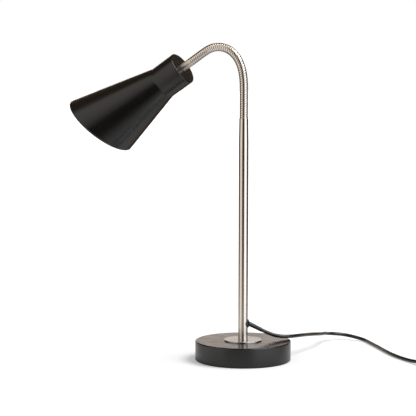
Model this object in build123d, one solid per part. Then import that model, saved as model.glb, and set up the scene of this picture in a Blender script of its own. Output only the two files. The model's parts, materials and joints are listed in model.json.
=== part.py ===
from build123d import *
import os
from math import atan2, cos, degrees, pi, radians, sin, sqrt, tan

# Gooseneck desk lamp, in millimetres and degrees.
# Origin: centre of the base's underside. +Z is up, and the neck bends towards -X.

# ---------------------------------------------------------------- base
BASE_DIAMETER = 130.0
BASE_HEIGHT = 26.8  # table to the top of the shell
BASE_WALL = 1.2
BASE_EDGE_RADIUS = 1.6
SHELL_LIFT = 1.0  # shadow gap under the shell
PAD_THICKNESS = 2.0
PAD_INSET = 0.8  # pad's edge inside the shell's wall
WEIGHT_DISC = 10.0  # thickness of the casting under the shell's top
WEIGHT_RIM = 12.0  # width of the casting's foot ring
WEIGHT_FIT = 0.3

ROSETTE_DIAMETER = 52.0
ROSETTE_THICKNESS = 1.5
ROSETTE_EDGE = 0.5

STUD_DIAMETER = 9.8  # M10x1 thread, drawn plain
STUD_FIT = 0.1
INSERT_LENGTH = 14.0  # part of the stud that is pressed into the pole
WASHER_DIAMETER = 20.0
WASHER_THICKNESS = 1.6
NUT_ACROSS_FLATS = 14.0
FOOT_NUT_HEIGHT = 5.0
STUD_TAIL = 3.0  # thread past the foot nut

# ---------------------------------------------------------------- pole
POLE_DIAMETER = 13.0
POLE_WALL = 1.0
POLE_TOP = 329.0  # height of the collar where the neck starts
SWAGE_LENGTH = 33.0
SWAGE_DIAMETER = 12.0  # outside, at the collar
SOCKET_DEPTH = 18.0  # where the swaged wall grips the neck's spigot
SOCKET_DIAMETER = 9.3
SWAGE_INNER_CONE = 11.0

GROMMET_HEIGHT = 50.0
GROMMET_TURN = 22.0  # sideways turn of the cord's hole from +X
GROMMET_FLANGE = 11.2
GROMMET_PROUD = 1.8  # flange beyond the pole's surface
GROMMET_HOLE = 8.4
GROMMET_FIT = 0.05
GROMMET_INSIDE = 1.0  # past the wall, into the tube
TAIL_LENGTH = 20.0
TAIL_ROOT = 6.2
TAIL_TIP = 5.6
TAIL_TURN = 36.0
TAIL_DROP = 27.0
LEAD_DIAMETER = 4.0  # inner lead in the pole
LEAD_BEND = 4.0
LEAD_TOP_GAP = 8.0

# ---------------------------------------------------------------- gooseneck
NECK_DIAMETER = 11.3  # over the ribs
NECK_VALLEY = 9.9  # between the ribs
NECK_LINKS = 15
LINK_PITCH = 10.7  # from one ball centre to the next
RIBS_PER_LINK = 3
RIM_LIFT = 1.4  # a link's lower rim above the ball centre it turns about
CUP_DIAMETER = 9.0  # socket at the rim
CUP_APEX = 6.9  # socket's point above the ball centre
NOSE_DIAMETER = 8.88  # nose at the ball centre
NOSE_REACH = 3.1  # nose beyond the ball centre
SPIGOT_FIT = 0.05

# The neck at rest: each bend is one step more than the last, up to the tightest.
STRAIGHT_LINKS = 3
BEND_STEP = 3.2
BEND_MOST = 18.0
HEAD_DOWN = 123.2  # whole bend, from straight up to the shade's axis

# ---------------------------------------------------------------- head
FERRULE_LENGTH = 16.5  # last ball centre to the shade's cap
FERRULE_DIAMETER = 11.2
NIPPLE_DIAMETER = 9.8
NIPPLE_FIT = 0.05
NIPPLE_IN_FERRULE = 8.0
HEAD_NUT_HEIGHT = 3.5

SHADE_WALL = 0.9
SHADE_CAP_DIAMETER = 46.5
SHADE_CAP_LENGTH = 37.3
SHADE_CAP_EDGE = 1.0
SHADE_LENGTH = 150.5  # along the axis, cap to mouth
SHADE_MOUTH_DIAMETER = 102.6  # at that length
MOUTH_SLANT = 16.0  # the upper side reaches further

HOLDER_CAP_DIAMETER = 35.0
HOLDER_CAP_LENGTH = 18.0
HOLDER_DIAMETER = 39.0
HOLDER_LENGTH = 30.0
HOLDER_WALL = 2.0
HOLDER_BORE = 27.0  # E27 thread, drawn plain
HOLDER_EDGE = 1.5
INSERT_THICKNESS = 5.0
INSERT_FIT = 0.2
CONTACT_THICKNESS = 0.6
CONTACT_WIDTH = 6.0
CONTACT_RISE = 2.4  # centre contact's tongue above the insert
CONTACT_FIT = 0.05
SIDE_CONTACT_LENGTH = 10.5
TERMINAL_DIAMETER = 4.0
TERMINAL_LENGTH = 3.0
TERMINAL_SPACING = 18.0

BULB_CAP_DIAMETER = 26.4
BULB_CAP_LENGTH = 25.0  # tip to the globe's neck
BULB_TIP_DIAMETER = 9.0
BULB_TIP_LENGTH = 0.8
BULB_NECK_DIAMETER = 20.0  # black glass between the tip and the screw shell
BULB_NECK_LENGTH = 3.2
GLOBE_DIAMETER = 45.0
BULB_LENGTH = 78.0

# ---------------------------------------------------------------- mains cord
CORD_DIAMETER = 5.0
CORD_LIFT = 0.05
TAIL_RUN = 15.0  # straight out of the tail
SWITCH_RUN = 13.0  # straight into and out of the switch
SWITCH_LENGTH = 48.0
SWITCH_NOSE = 7.0
SWITCH_NOSE_DIAMETER = 8.4
SWITCH_WIDTH = 26.0
SWITCH_HEIGHT = 15.0
SWITCH_SPLIT = 7.0
SWITCH_CORNER = 5.0
SWITCH_EDGE = 1.5
ROCKER_RADIUS = 11.6
ROCKER_WIDTH = 11.0
ROCKER_SKIRT = 1.0  # below the pins
ROCKER_SLOPE = 9.0
ROCKER_TILT = 7.0
ROCKER_FIT = 0.3
ROCKER_PIN_DIAMETER = 2.4
ROCKER_PIN_REACH = 2.0
ROCKER_PIN_FIT = 0.08
WELL_FLOOR = 2.6
SCREW_DIAMETER = 3.0
SCREW_HEAD_DIAMETER = 5.4
SCREW_HEAD_HEIGHT = 1.6
SCREW_LENGTH = 9.0
SCREW_SPACING = 36.0
SCREW_FIT = 0.1

PLUG_LENGTH = 30.0
PLUG_WIDTH = 33.0
PLUG_BACK_WIDTH = 12.0
PLUG_HEIGHT = 13.6
PLUG_SHOULDER = 12.0
PLUG_EDGE = 1.5
PIN_DIAMETER = 4.0
PIN_LENGTH = 19.0
PIN_SPACING = 18.6

# A round coil of two layers, held by a tie. Its solid is the bundle's outer shape.
COIL_MID_RADIUS = 29.0
COIL_TURNS_PER_LAYER = 3.22
COIL_LAYERS = 2
COIL_TURN_PITCH = 5.1
COIL_BEVEL = 1.5
TIE_WIDTH = 8.0
TIE_THICKNESS = 0.8
TIE_FIT = 0.05
TIE_TURN = 180.0

# The cord's route: out of the tail, over the base's edge, down to the table, round to
# the inline switch, from there into the coil, and out of it to the plug.
CORD_REST = CORD_DIAMETER / 2 + CORD_LIFT
TO_SWITCH = [
    (44.7, 27.9, 31.0),
    (54.6, 40.6, 29.9),
    (58.6, 62.5, 28.3),
    (59.3, 96.0, 24.6),
    (63.1, 136.1, 19.4),
    (50.8, 186.2, 11.4),
    (70.6, 210.5, 7.7),
    (101.0, 209.4, CORD_REST),
    (119.8, 184.8, CORD_REST),
    (141.1, 157.4, CORD_REST),
    (164.2, 126.0, CORD_REST),
    (185.2, 101.5, CORD_REST),
    (206.0, 83.0, CORD_REST),
    (223.0, 69.3, 3.5),
]
SWITCH_START = (246.0, 50.0)
SWITCH_HEADING = -40.0
TO_COIL = [
    (313.4, -7.2, 4.2),
    (323.5, -15.2, 3.35),
    (333.0, -19.3, 3.35),
]
COIL_CENTRE = (344.7, 16.0)
TO_PLUG = [
    (369.6, 43.6, 8.4),
    (355.0, 57.0, 6.8),
]
PLUG_START = (326.0, 72.0)


# ================================================================= helpers
def save(node, solids):
    """Writes one sub-part, a solid or a list of separate solids, to its STEP file."""
    shape = Compound(children=solids) if isinstance(solids, list) else solids
    export_step(shape, f"parts/{node}.step")


def turned(*points):
    """A solid of revolution about Z from an outline of (radius, height) points."""
    outline = make_face(Plane.XZ * Polyline(*points, close=True))
    return revolve(outline, Axis.Z)


def rod(radius, low, high):
    """A plain cylinder about Z between two heights."""
    return Pos(0, 0, low) * Cylinder(radius, high - low, align=(Align.CENTER, Align.CENTER, Align.MIN))


def ring(outer, inner, low, high):
    """A plain ring about Z between two heights."""
    return rod(outer, low, high) - rod(inner, low, high)


def block(length, width, low, high):
    """A box centred on Z, between two heights."""
    return Pos(0, 0, low) * Box(length, width, high - low, align=(Align.CENTER, Align.CENTER, Align.MIN))


def hexagon(across_flats, bore_radius, low, high):
    """A hexagon nut about Z, drawn with a plain bore."""
    outline = RegularPolygon(across_flats / 2, 6, major_radius=False)
    nut = Pos(0, 0, low) * extrude(outline, high - low)
    return nut - rod(bore_radius, low, high)


def along_x(solid):
    """Lays a solid that stands on Z along X instead."""
    return Rot(0, 90, 0) * solid


def heading(start, end):
    """Direction in the table's plane from one point to another, in degrees from +X."""
    return degrees(atan2(end[1] - start[1], end[0] - start[0]))


def cord_tube(points):
    """A length of cord: straight runs joined by the largest arcs that fit between them."""
    corners = [Vector(*point) for point in points]
    runs = [after - before for before, after in zip(corners, corners[1:])]
    radii = []
    for before, after in zip(runs, runs[1:]):
        turn = radians(before.get_angle(after))
        radii.append(0.45 * min(before.length, after.length) / tan(turn / 2))
    print("cord radii", [round(radius) for radius in radii])
    path = FilletPolyline(*corners, radius=radii)
    start = Plane(origin=path @ 0, z_dir=path % 0)
    tube = sweep(start * Circle(CORD_DIAMETER / 2), path=path)
    ideal_volume = pi * CORD_DIAMETER**2 / 4 * path.length
    print("cord length", round(path.length, 1), "volume ratio", round(tube.volume / ideal_volume, 5))
    return tube


# ================================================================= base
def build_base():
    """The pressed shell, its cast weight and the pad that closes it."""
    radius = BASE_DIAMETER / 2
    underside = BASE_HEIGHT - BASE_WALL
    stud_hole = STUD_DIAMETER / 2 + STUD_FIT

    shell = rod(radius, SHELL_LIFT, BASE_HEIGHT)
    shell = fillet(shell.edges().group_by(Axis.Z)[-1], BASE_EDGE_RADIUS)
    shell -= rod(radius - BASE_WALL, SHELL_LIFT, underside)
    shell -= rod(stud_hole, underside, BASE_HEIGHT)
    save("base_shell", shell)

    casting = radius - BASE_WALL - WEIGHT_FIT
    disc_low = underside - WEIGHT_DISC
    weight = rod(casting, PAD_THICKNESS, underside)
    weight -= rod(casting - WEIGHT_RIM, PAD_THICKNESS, disc_low)
    weight -= rod(stud_hole, disc_low, underside)
    save("base_weight", weight)

    save("base_pad", rod(radius - BASE_WALL - PAD_INSET, 0, PAD_THICKNESS))
    return disc_low


def build_rosette():
    """The brushed disc between the shell and the pole's foot. Returns the pole's foot height."""
    radius = ROSETTE_DIAMETER / 2
    top = BASE_HEIGHT + ROSETTE_THICKNESS
    hole = STUD_DIAMETER / 2 + STUD_FIT
    disc = turned(
        (hole, BASE_HEIGHT),
        (radius, BASE_HEIGHT),
        (radius, top - ROSETTE_EDGE),
        (radius - ROSETTE_EDGE, top),
        (hole, top),
    )
    save("rosette", disc)
    return top


def build_foot_fixing(disc_low, foot):
    """The stud in the pole's foot, and the washer and nut that clamp it under the weight."""
    stud_radius = STUD_DIAMETER / 2
    bore_radius = POLE_DIAMETER / 2 - POLE_WALL
    washer_low = disc_low - WASHER_THICKNESS
    nut_low = washer_low - FOOT_NUT_HEIGHT
    stud = rod(stud_radius, nut_low - STUD_TAIL, foot)
    stud += rod(bore_radius - STUD_FIT / 2, foot, foot + INSERT_LENGTH)
    save("foot_stud", stud)
    save("foot_washer", ring(WASHER_DIAMETER / 2, stud_radius + STUD_FIT, washer_low, disc_low))
    save("foot_nut", hexagon(NUT_ACROSS_FLATS, stud_radius + STUD_FIT, nut_low, washer_low))


# ================================================================= pole
def build_pole(foot):
    """The tube, swaged at its top to grip the neck, with the cord's hole low in its wall."""
    outer = POLE_DIAMETER / 2
    inner = outer - POLE_WALL
    socket = SOCKET_DIAMETER / 2
    socket_floor = POLE_TOP - SOCKET_DEPTH
    pole = turned(
        (inner, foot),
        (outer, foot),
        (outer, POLE_TOP - SWAGE_LENGTH),
        (SWAGE_DIAMETER / 2, POLE_TOP),
        (socket, POLE_TOP),
        (socket, socket_floor),
        (inner, socket_floor - SWAGE_INNER_CONE),
    )
    hole = along_x(rod(GROMMET_HOLE / 2, 0, POLE_DIAMETER))
    pole -= Pos(0, 0, GROMMET_HEIGHT) * Rot(0, 0, GROMMET_TURN) * hole
    save("pole", pole)


def tail_line():
    """Where the grommet's tail starts, and which way it points."""
    side = Rot(0, 0, GROMMET_TURN) * Pos(POLE_DIAMETER / 2 + GROMMET_PROUD / 2, 0, 0)
    start = Vector(side.position.X, side.position.Y, GROMMET_HEIGHT)
    level = cos(radians(TAIL_DROP))
    direction = Vector(
        level * cos(radians(TAIL_TURN)),
        level * sin(radians(TAIL_TURN)),
        -sin(radians(TAIL_DROP)),
    )
    return start, direction


def build_grommet():
    """The moulded grommet in the pole's wall, with its tapered tail.

    Returns the tail's tip and a point straight out of it, where the cord starts."""
    pole_radius = POLE_DIAMETER / 2
    inner_face = pole_radius - POLE_WALL - GROMMET_INSIDE
    outer_face = pole_radius + GROMMET_PROUD
    flange = along_x(rod(GROMMET_FLANGE / 2, 0, outer_face))
    flange -= rod(pole_radius + GROMMET_FIT, -GROMMET_FLANGE, GROMMET_FLANGE)
    through_wall = along_x(rod(GROMMET_HOLE / 2 - GROMMET_FIT, inner_face, outer_face))
    grommet = Pos(0, 0, GROMMET_HEIGHT) * Rot(0, 0, GROMMET_TURN) * (flange + through_wall)

    start, direction = tail_line()
    tail = Cone(TAIL_ROOT / 2, TAIL_TIP / 2, TAIL_LENGTH, align=(Align.CENTER, Align.CENTER, Align.MIN))
    grommet += Plane(origin=start, z_dir=direction) * tail
    save("cord_grommet", grommet)
    tip = start + direction * TAIL_LENGTH
    return tip, tip + direction * TAIL_RUN


def build_pole_lead():
    """The lead from the grommet up the pole, ending below the neck's spigot."""
    reach = POLE_DIAMETER / 2 - POLE_WALL - GROMMET_INSIDE
    entry = (Rot(0, 0, GROMMET_TURN) * Pos(reach, 0, 0)).position
    top = POLE_TOP - SOCKET_DEPTH - LEAD_TOP_GAP
    path = FilletPolyline(
        (entry.X, entry.Y, GROMMET_HEIGHT),
        (0, 0, GROMMET_HEIGHT),
        (0, 0, top),
        radius=LEAD_BEND,
    )
    start = Plane(origin=path @ 0, z_dir=path % 0)
    save("pole_lead", sweep(start * Circle(LEAD_DIAMETER / 2), path=path))


# ================================================================= gooseneck
def ribs_and_nose():
    """Outline points of a link's outside, from its first rib to the flat of its nose.

    The last rib's flank runs on as the nose that turns in the next link's cup."""
    rib_pitch = LINK_PITCH / RIBS_PER_LINK
    crest = NECK_DIAMETER / 2
    points = [(crest, RIM_LIFT)]
    for rib in range(1, RIBS_PER_LINK):
        points.append((NECK_VALLEY / 2, RIM_LIFT + (rib - 0.5) * rib_pitch))
        points.append((crest, RIM_LIFT + rib * rib_pitch))
    flank = LINK_PITCH - points[-1][1]
    taper = (crest - NOSE_DIAMETER / 2) / flank
    points.append((NOSE_DIAMETER / 2 - taper * NOSE_REACH, LINK_PITCH + NOSE_REACH))
    points.append((0, LINK_PITCH + NOSE_REACH))
    return points


def cup():
    """Outline points of a lower end: the cone-shaped socket for the nose of the link below."""
    return [(0, CUP_APEX), (CUP_DIAMETER / 2, RIM_LIFT)]


def neck_root():
    """The first link, fixed in the pole's collar by its spigot."""
    spigot = SOCKET_DIAMETER / 2 - SPIGOT_FIT
    depth = SOCKET_DEPTH - SPIGOT_FIT
    return turned((0, -depth), (spigot, -depth), (spigot, 0), (NECK_VALLEY / 2, 0), *ribs_and_nose())


def rest_bend(joint):
    """Bend of one joint at rest, counted from the collar."""
    steps = max(joint - STRAIGHT_LINKS, 0)
    bent_before = sum(min(BEND_STEP * step, BEND_MOST) for step in range(steps))
    return min(BEND_STEP * steps, BEND_MOST, max(HEAD_DOWN - bent_before, 0))


def neck_frames():
    """The ball centres along the neck at rest, each with Z along the link above it."""
    frames = [Pos(0, 0, POLE_TOP)]
    for joint in range(1, NECK_LINKS + 1):
        frames.append(frames[-1] * Pos(0, 0, LINK_PITCH) * Rot(0, -rest_bend(joint), 0))
    return frames


def build_neck(frames):
    """Every link in its place at rest, numbered from the collar."""
    save("neck_link_01", frames[0] * neck_root())
    link = turned(*cup(), *ribs_and_nose())
    for number in range(2, NECK_LINKS + 1):
        save(f"neck_link_{number:02d}", frames[number - 1] * link)


# ================================================================= head
def build_ferrule(last_ball):
    """The plain sleeve between the neck's last joint and the shade, with its threaded nipple."""
    outer = FERRULE_DIAMETER / 2
    bore = NIPPLE_DIAMETER / 2 + NIPPLE_FIT
    bore_low = FERRULE_LENGTH - NIPPLE_IN_FERRULE
    ferrule = turned(
        *cup(),
        (outer, RIM_LIFT),
        (outer, FERRULE_LENGTH),
        (bore, FERRULE_LENGTH),
        (bore, bore_low),
        (0, bore_low),
    )
    save("neck_ferrule", last_ball * ferrule)


def build_shade(cap):
    """The spun shade: a short cylinder that opens into a cone with a slanted mouth."""
    radius = SHADE_CAP_DIAMETER / 2
    slope = (SHADE_MOUTH_DIAMETER / 2 - radius) / (SHADE_LENGTH - SHADE_CAP_LENGTH)
    cone_wall = SHADE_WALL * sqrt(1 + slope**2)
    reach = SHADE_LENGTH + SHADE_MOUTH_DIAMETER / 2 * tan(radians(MOUTH_SLANT)) * 1.5
    wide = radius + slope * (reach - SHADE_CAP_LENGTH)
    corner = SHADE_CAP_LENGTH + (cone_wall - SHADE_WALL) / slope
    hole = NIPPLE_DIAMETER / 2 + NIPPLE_FIT
    shade = turned(
        (hole, 0),
        (radius - SHADE_CAP_EDGE, 0),
        (radius, SHADE_CAP_EDGE),
        (radius, SHADE_CAP_LENGTH),
        (wide, reach),
        (wide - cone_wall, reach),
        (radius - SHADE_WALL, corner),
        (radius - SHADE_WALL, SHADE_WALL),
        (hole, SHADE_WALL),
    )
    beyond = block(4 * wide, 4 * wide, 0, reach)
    shade -= Pos(0, 0, SHADE_LENGTH) * Rot(0, -MOUTH_SLANT, 0) * beyond
    save("shade", cap * shade)


def build_head_fixing(cap):
    """The nipple through the ferrule, shade and holder, and the nut that clamps the shade."""
    radius = NIPPLE_DIAMETER / 2
    nut_high = SHADE_WALL + HEAD_NUT_HEIGHT
    nipple_high = nut_high + HOLDER_WALL
    save("head_nipple", cap * rod(radius, -NIPPLE_IN_FERRULE, nipple_high))
    save("head_nut", cap * hexagon(NUT_ACROSS_FLATS, radius + NIPPLE_FIT, SHADE_WALL, nut_high))
    return nut_high


def build_lampholder(cap, low):
    """The holder's cap and skirt, the ceramic insert between them, contacts and terminals.

    Returns the height where the bulb's tip rests on the centre contact."""
    cap_radius = HOLDER_CAP_DIAMETER / 2
    cap_high = low + HOLDER_CAP_LENGTH
    holder_cap = rod(cap_radius, low, cap_high)
    holder_cap -= rod(cap_radius - HOLDER_WALL, low + HOLDER_WALL, cap_high)
    holder_cap -= rod(NIPPLE_DIAMETER / 2 + NIPPLE_FIT, low, low + HOLDER_WALL)
    save("holder_cap", cap * holder_cap)

    insert_low = cap_high - INSERT_THICKNESS
    terminal_high = insert_low + TERMINAL_LENGTH
    terminal_spots = [Pos(0, side * TERMINAL_SPACING / 2, 0) for side in (-1, 1)]
    screw = rod(TERMINAL_DIAMETER / 2, insert_low, terminal_high)
    insert = rod(cap_radius - HOLDER_WALL - INSERT_FIT, insert_low, cap_high)
    for spot in terminal_spots:
        insert -= spot * screw
    save("holder_insert", cap * insert)
    save("terminal_screws", [cap * spot * screw for spot in terminal_spots])

    tongue = cap_high + CONTACT_RISE
    contact = block(CONTACT_WIDTH, CONTACT_WIDTH, cap_high, tongue)
    contact -= Pos(CONTACT_THICKNESS, 0, 0) * block(
        CONTACT_WIDTH, CONTACT_WIDTH, cap_high + CONTACT_THICKNESS, tongue - CONTACT_THICKNESS
    )
    save("centre_contact", cap * contact)

    side_inner = BULB_CAP_DIAMETER / 2 + CONTACT_FIT
    side_outer = side_inner + CONTACT_THICKNESS
    side_high = cap_high + SIDE_CONTACT_LENGTH
    strip = block(CONTACT_WIDTH, CONTACT_THICKNESS, cap_high, side_high)
    save("side_contact", cap * Pos(0, (side_inner + side_outer) / 2, 0) * strip)

    skirt = ring(HOLDER_DIAMETER / 2, HOLDER_BORE / 2, cap_high, cap_high + HOLDER_LENGTH)
    skirt = chamfer(skirt.edges().filter_by(GeomType.CIRCLE).group_by(Axis.Z)[-1], HOLDER_EDGE)
    slot_width = CONTACT_WIDTH + 2 * CONTACT_FIT
    slot = block(slot_width, 2 * (side_outer + CONTACT_FIT), cap_high, side_high + CONTACT_FIT)
    slot -= Pos(0, -HOLDER_DIAMETER, 0) * block(slot_width, 2 * HOLDER_DIAMETER, cap_high, side_high + 1)
    save("holder_skirt", cap * (skirt - slot))
    return tongue


def build_bulb(cap, tip):
    """A screw-cap bulb with a round globe, its tip on the centre contact."""
    glass_low = tip + BULB_TIP_LENGTH
    shell_low = glass_low + BULB_NECK_LENGTH
    shell_high = tip + BULB_CAP_LENGTH
    screw = BULB_CAP_DIAMETER / 2
    neck = BULB_NECK_DIAMETER / 2
    save("bulb_tip", cap * rod(BULB_TIP_DIAMETER / 2, tip, glass_low))

    insulator = turned(
        (0, glass_low),
        (BULB_TIP_DIAMETER / 2, glass_low),
        (neck, shell_low),
        (0, shell_low),
    )
    save("bulb_insulator", cap * insulator)

    shell = turned(
        (0, shell_low),
        (neck, shell_low),
        (screw, shell_low + screw - neck),
        (screw, shell_high),
        (0, shell_high),
    )
    save("bulb_cap", cap * shell)

    globe_radius = GLOBE_DIAMETER / 2
    centre = tip + BULB_LENGTH - globe_radius
    globe = Pos(0, 0, centre) * Sphere(globe_radius)
    globe += rod(screw, shell_high, centre - sqrt(globe_radius**2 - screw**2))
    save("bulb_globe", cap * globe)


# ================================================================= mains cord
def build_switch(place):
    """The inline rocker switch: two shells, the rocker between them and two screws."""
    nose_end = SWITCH_LENGTH / 2 + SWITCH_NOSE
    case = extrude(RectangleRounded(SWITCH_LENGTH, SWITCH_WIDTH, SWITCH_CORNER), SWITCH_HEIGHT)
    case = chamfer(case.faces().sort_by(Axis.Z)[-1].edges(), SWITCH_EDGE)
    case += Pos(0, 0, SWITCH_SPLIT) * along_x(rod(SWITCH_NOSE_DIAMETER / 2, -nose_end, nose_end))

    pivot = Pos(0, 0, SWITCH_SPLIT) * Rot(90, 0, 0)
    well_half = ROCKER_WIDTH / 2 + ROCKER_FIT
    well = pivot * rod(ROCKER_RADIUS + ROCKER_FIT, -well_half, well_half)
    well -= block(SWITCH_LENGTH, SWITCH_WIDTH, -SWITCH_HEIGHT, WELL_FLOOR)
    pin_reach = ROCKER_WIDTH / 2 + ROCKER_PIN_REACH
    pin_hole = rod(ROCKER_PIN_DIAMETER / 2 + ROCKER_PIN_FIT, -pin_reach - ROCKER_FIT, pin_reach + ROCKER_FIT)
    case -= well
    case -= pivot * pin_hole

    screw_high = SCREW_HEAD_HEIGHT + SCREW_LENGTH
    screw = rod(SCREW_HEAD_DIAMETER / 2, 0, SCREW_HEAD_HEIGHT)
    screw += rod(SCREW_DIAMETER / 2, SCREW_HEAD_HEIGHT, screw_high)
    hole = rod(SCREW_HEAD_DIAMETER / 2 + SCREW_FIT, 0, SCREW_HEAD_HEIGHT)
    hole += rod(SCREW_DIAMETER / 2 + SCREW_FIT, SCREW_HEAD_HEIGHT, screw_high)
    spots = [Pos(side * SCREW_SPACING / 2, 0, 0) for side in (-1, 1)]
    for spot in spots:
        case -= spot * hole
    save("switch_screws", [place * spot * screw for spot in spots])

    whole = 2 * nose_end
    save("switch_lower", place * (case - block(whole, whole, SWITCH_SPLIT, SWITCH_HEIGHT)))
    save("switch_upper", place * (case - block(whole, whole, 0, SWITCH_SPLIT)))

    rise = ROCKER_RADIUS * tan(radians(ROCKER_SLOPE))
    crown = SWITCH_HEIGHT - SWITCH_SPLIT
    profile = make_face(
        Polyline(
            (-ROCKER_RADIUS, -ROCKER_SKIRT),
            (ROCKER_RADIUS, -ROCKER_SKIRT),
            (ROCKER_RADIUS, crown + rise),
            (0, crown),
            (-ROCKER_RADIUS, crown + rise),
            close=True,
        )
    )
    rocker = extrude(profile, ROCKER_WIDTH / 2, both=True) & rod(ROCKER_RADIUS, -ROCKER_WIDTH, ROCKER_WIDTH)
    rocker += rod(ROCKER_PIN_DIAMETER / 2, -pin_reach, pin_reach)
    save("switch_rocker", place * pivot * Rot(0, 0, ROCKER_TILT) * rocker)


def build_plug(place):
    """A flat two-pin plug, lying on the table."""
    back = PLUG_BACK_WIDTH / 2
    front = PLUG_WIDTH / 2
    outline = make_face(
        Polyline(
            (0, -back),
            (PLUG_SHOULDER, -front),
            (PLUG_LENGTH, -front),
            (PLUG_LENGTH, front),
            (PLUG_SHOULDER, front),
            (0, back),
            close=True,
        )
    )
    body = extrude(outline, PLUG_HEIGHT)
    edges = body.faces().sort_by(Axis.Z)[-1].edges() + body.faces().sort_by(Axis.Z)[0].edges()
    save("plug_body", place * chamfer(edges, PLUG_EDGE))
    pin = Pos(0, 0, PLUG_HEIGHT / 2) * along_x(rod(PIN_DIAMETER / 2, PLUG_LENGTH, PLUG_LENGTH + PIN_LENGTH))
    save("plug_pins", [place * Pos(0, side * PIN_SPACING / 2, 0) * pin for side in (-1, 1)])


def build_coil():
    """The coil's outer shape, lying on the tie that goes round it."""
    spread = COIL_TURNS_PER_LAYER * COIL_TURN_PITCH / 2 + CORD_DIAMETER / 2
    inner = COIL_MID_RADIUS - spread
    outer = COIL_MID_RADIUS + spread
    low = TIE_THICKNESS
    high = low + COIL_LAYERS * COIL_TURN_PITCH
    coil = turned(
        (inner, low),
        (outer, low),
        (outer, high - COIL_BEVEL),
        (outer - COIL_BEVEL, high),
        (inner + COIL_BEVEL, high),
        (inner, high - COIL_BEVEL),
    )
    place = Pos(*COIL_CENTRE, 0)
    save("cord_coil", place * coil)

    near = sqrt(inner**2 - (TIE_WIDTH / 2) ** 2) - TIE_FIT
    far = outer + TIE_FIT
    top = high + TIE_FIT
    band = block(far - near + 2 * TIE_THICKNESS, TIE_WIDTH, 0, top + TIE_THICKNESS)
    band -= block(far - near, TIE_WIDTH, TIE_THICKNESS, top)
    save("cord_tie", place * Rot(0, 0, TIE_TURN) * Pos((near + far) / 2, 0, 0) * band)


def build_cord(tail_tip, tail_point):
    """The cord's three stretches, with the switch, the coil and the plug between them."""
    whole = SWITCH_LENGTH + 2 * SWITCH_NOSE
    switch = Pos(*SWITCH_START, 0) * Rot(0, 0, SWITCH_HEADING)
    stations = [-SWITCH_RUN, 0, whole, whole + SWITCH_RUN]
    along_switch = [(switch * Pos(station, 0, SWITCH_SPLIT)).position for station in stations]
    build_switch(switch * Pos(whole / 2, 0, 0))
    save("cord_to_switch", cord_tube([tail_tip, tail_point, *TO_SWITCH, *along_switch[:2]]))
    save("cord_to_coil", cord_tube([*along_switch[2:], *TO_COIL]))
    build_coil()
    save("cord_to_plug", cord_tube([*TO_PLUG, (*PLUG_START, PLUG_HEIGHT / 2)]))
    build_plug(Pos(*PLUG_START, 0) * Rot(0, 0, heading(TO_PLUG[-1], PLUG_START)))


# ================================================================= the lamp
os.makedirs("parts", exist_ok=True)
weight_underside = build_base()
pole_foot = build_rosette()
build_foot_fixing(weight_underside, pole_foot)
build_pole(pole_foot)
tail_tip, cord_start = build_grommet()
build_pole_lead()
ball_centres = neck_frames()
build_neck(ball_centres)
build_ferrule(ball_centres[-1])
shade_cap = ball_centres[-1] * Pos(0, 0, FERRULE_LENGTH)
build_shade(shade_cap)
holder_low = build_head_fixing(shade_cap)
bulb_tip = build_lampholder(shade_cap, holder_low)
build_bulb(shade_cap, bulb_tip)
build_cord(tail_tip, cord_start)
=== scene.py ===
import json
from math import atan2, ceil, cos, pi, radians, sin, sqrt, tan

import bpy
from mathutils import Matrix, Vector

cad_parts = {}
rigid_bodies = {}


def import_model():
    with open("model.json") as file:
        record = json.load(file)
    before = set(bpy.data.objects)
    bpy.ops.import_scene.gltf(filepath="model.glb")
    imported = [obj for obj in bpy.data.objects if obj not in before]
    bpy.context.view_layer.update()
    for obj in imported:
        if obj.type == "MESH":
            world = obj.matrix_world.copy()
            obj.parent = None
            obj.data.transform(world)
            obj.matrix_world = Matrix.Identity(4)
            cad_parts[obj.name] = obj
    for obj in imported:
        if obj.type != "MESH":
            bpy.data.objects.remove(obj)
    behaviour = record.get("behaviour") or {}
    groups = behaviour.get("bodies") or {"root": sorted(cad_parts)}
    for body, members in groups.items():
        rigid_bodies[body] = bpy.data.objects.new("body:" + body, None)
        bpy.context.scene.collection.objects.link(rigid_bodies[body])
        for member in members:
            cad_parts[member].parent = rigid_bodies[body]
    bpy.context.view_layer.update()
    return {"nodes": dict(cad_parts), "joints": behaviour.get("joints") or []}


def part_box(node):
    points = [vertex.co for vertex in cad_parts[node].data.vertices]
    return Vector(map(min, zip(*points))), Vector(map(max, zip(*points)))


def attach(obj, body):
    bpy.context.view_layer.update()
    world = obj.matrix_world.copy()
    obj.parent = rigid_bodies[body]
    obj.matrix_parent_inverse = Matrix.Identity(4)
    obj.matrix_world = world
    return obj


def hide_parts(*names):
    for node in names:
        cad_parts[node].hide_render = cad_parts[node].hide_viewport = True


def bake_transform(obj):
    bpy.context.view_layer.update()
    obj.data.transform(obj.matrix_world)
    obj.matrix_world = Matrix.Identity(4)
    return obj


# Gooseneck desk lamp. Metres, in the CAD's frame: origin under the base, +Z up, neck towards -X.
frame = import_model()
MM = 0.001
UP = Vector((0, 0, 1))
SIDE = Vector((0, 1, 0))


# ------------------------------------------------------------------ places from the frame
FERRULE_LENGTH = 16.5 * MM


def ball_centres():
    """The neck's hinge points in order from the collar to the head."""
    by_parent = {joint["parent"]: joint for joint in frame["joints"] if joint["child"] != "rocker"}
    points = []
    body = "stand"
    while body in by_parent:
        points.append(Vector(by_parent[body]["pos_m"]))
        body = by_parent[body]["child"]
    return points


BALLS = ball_centres()
COLLAR = Vector((0, 0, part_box("pole")[1][2]))
SHADE_AXIS = (BALLS[-1] - BALLS[-2]).normalized()
SHADE_CAP = BALLS[-1] + SHADE_AXIS * FERRULE_LENGTH


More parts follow.
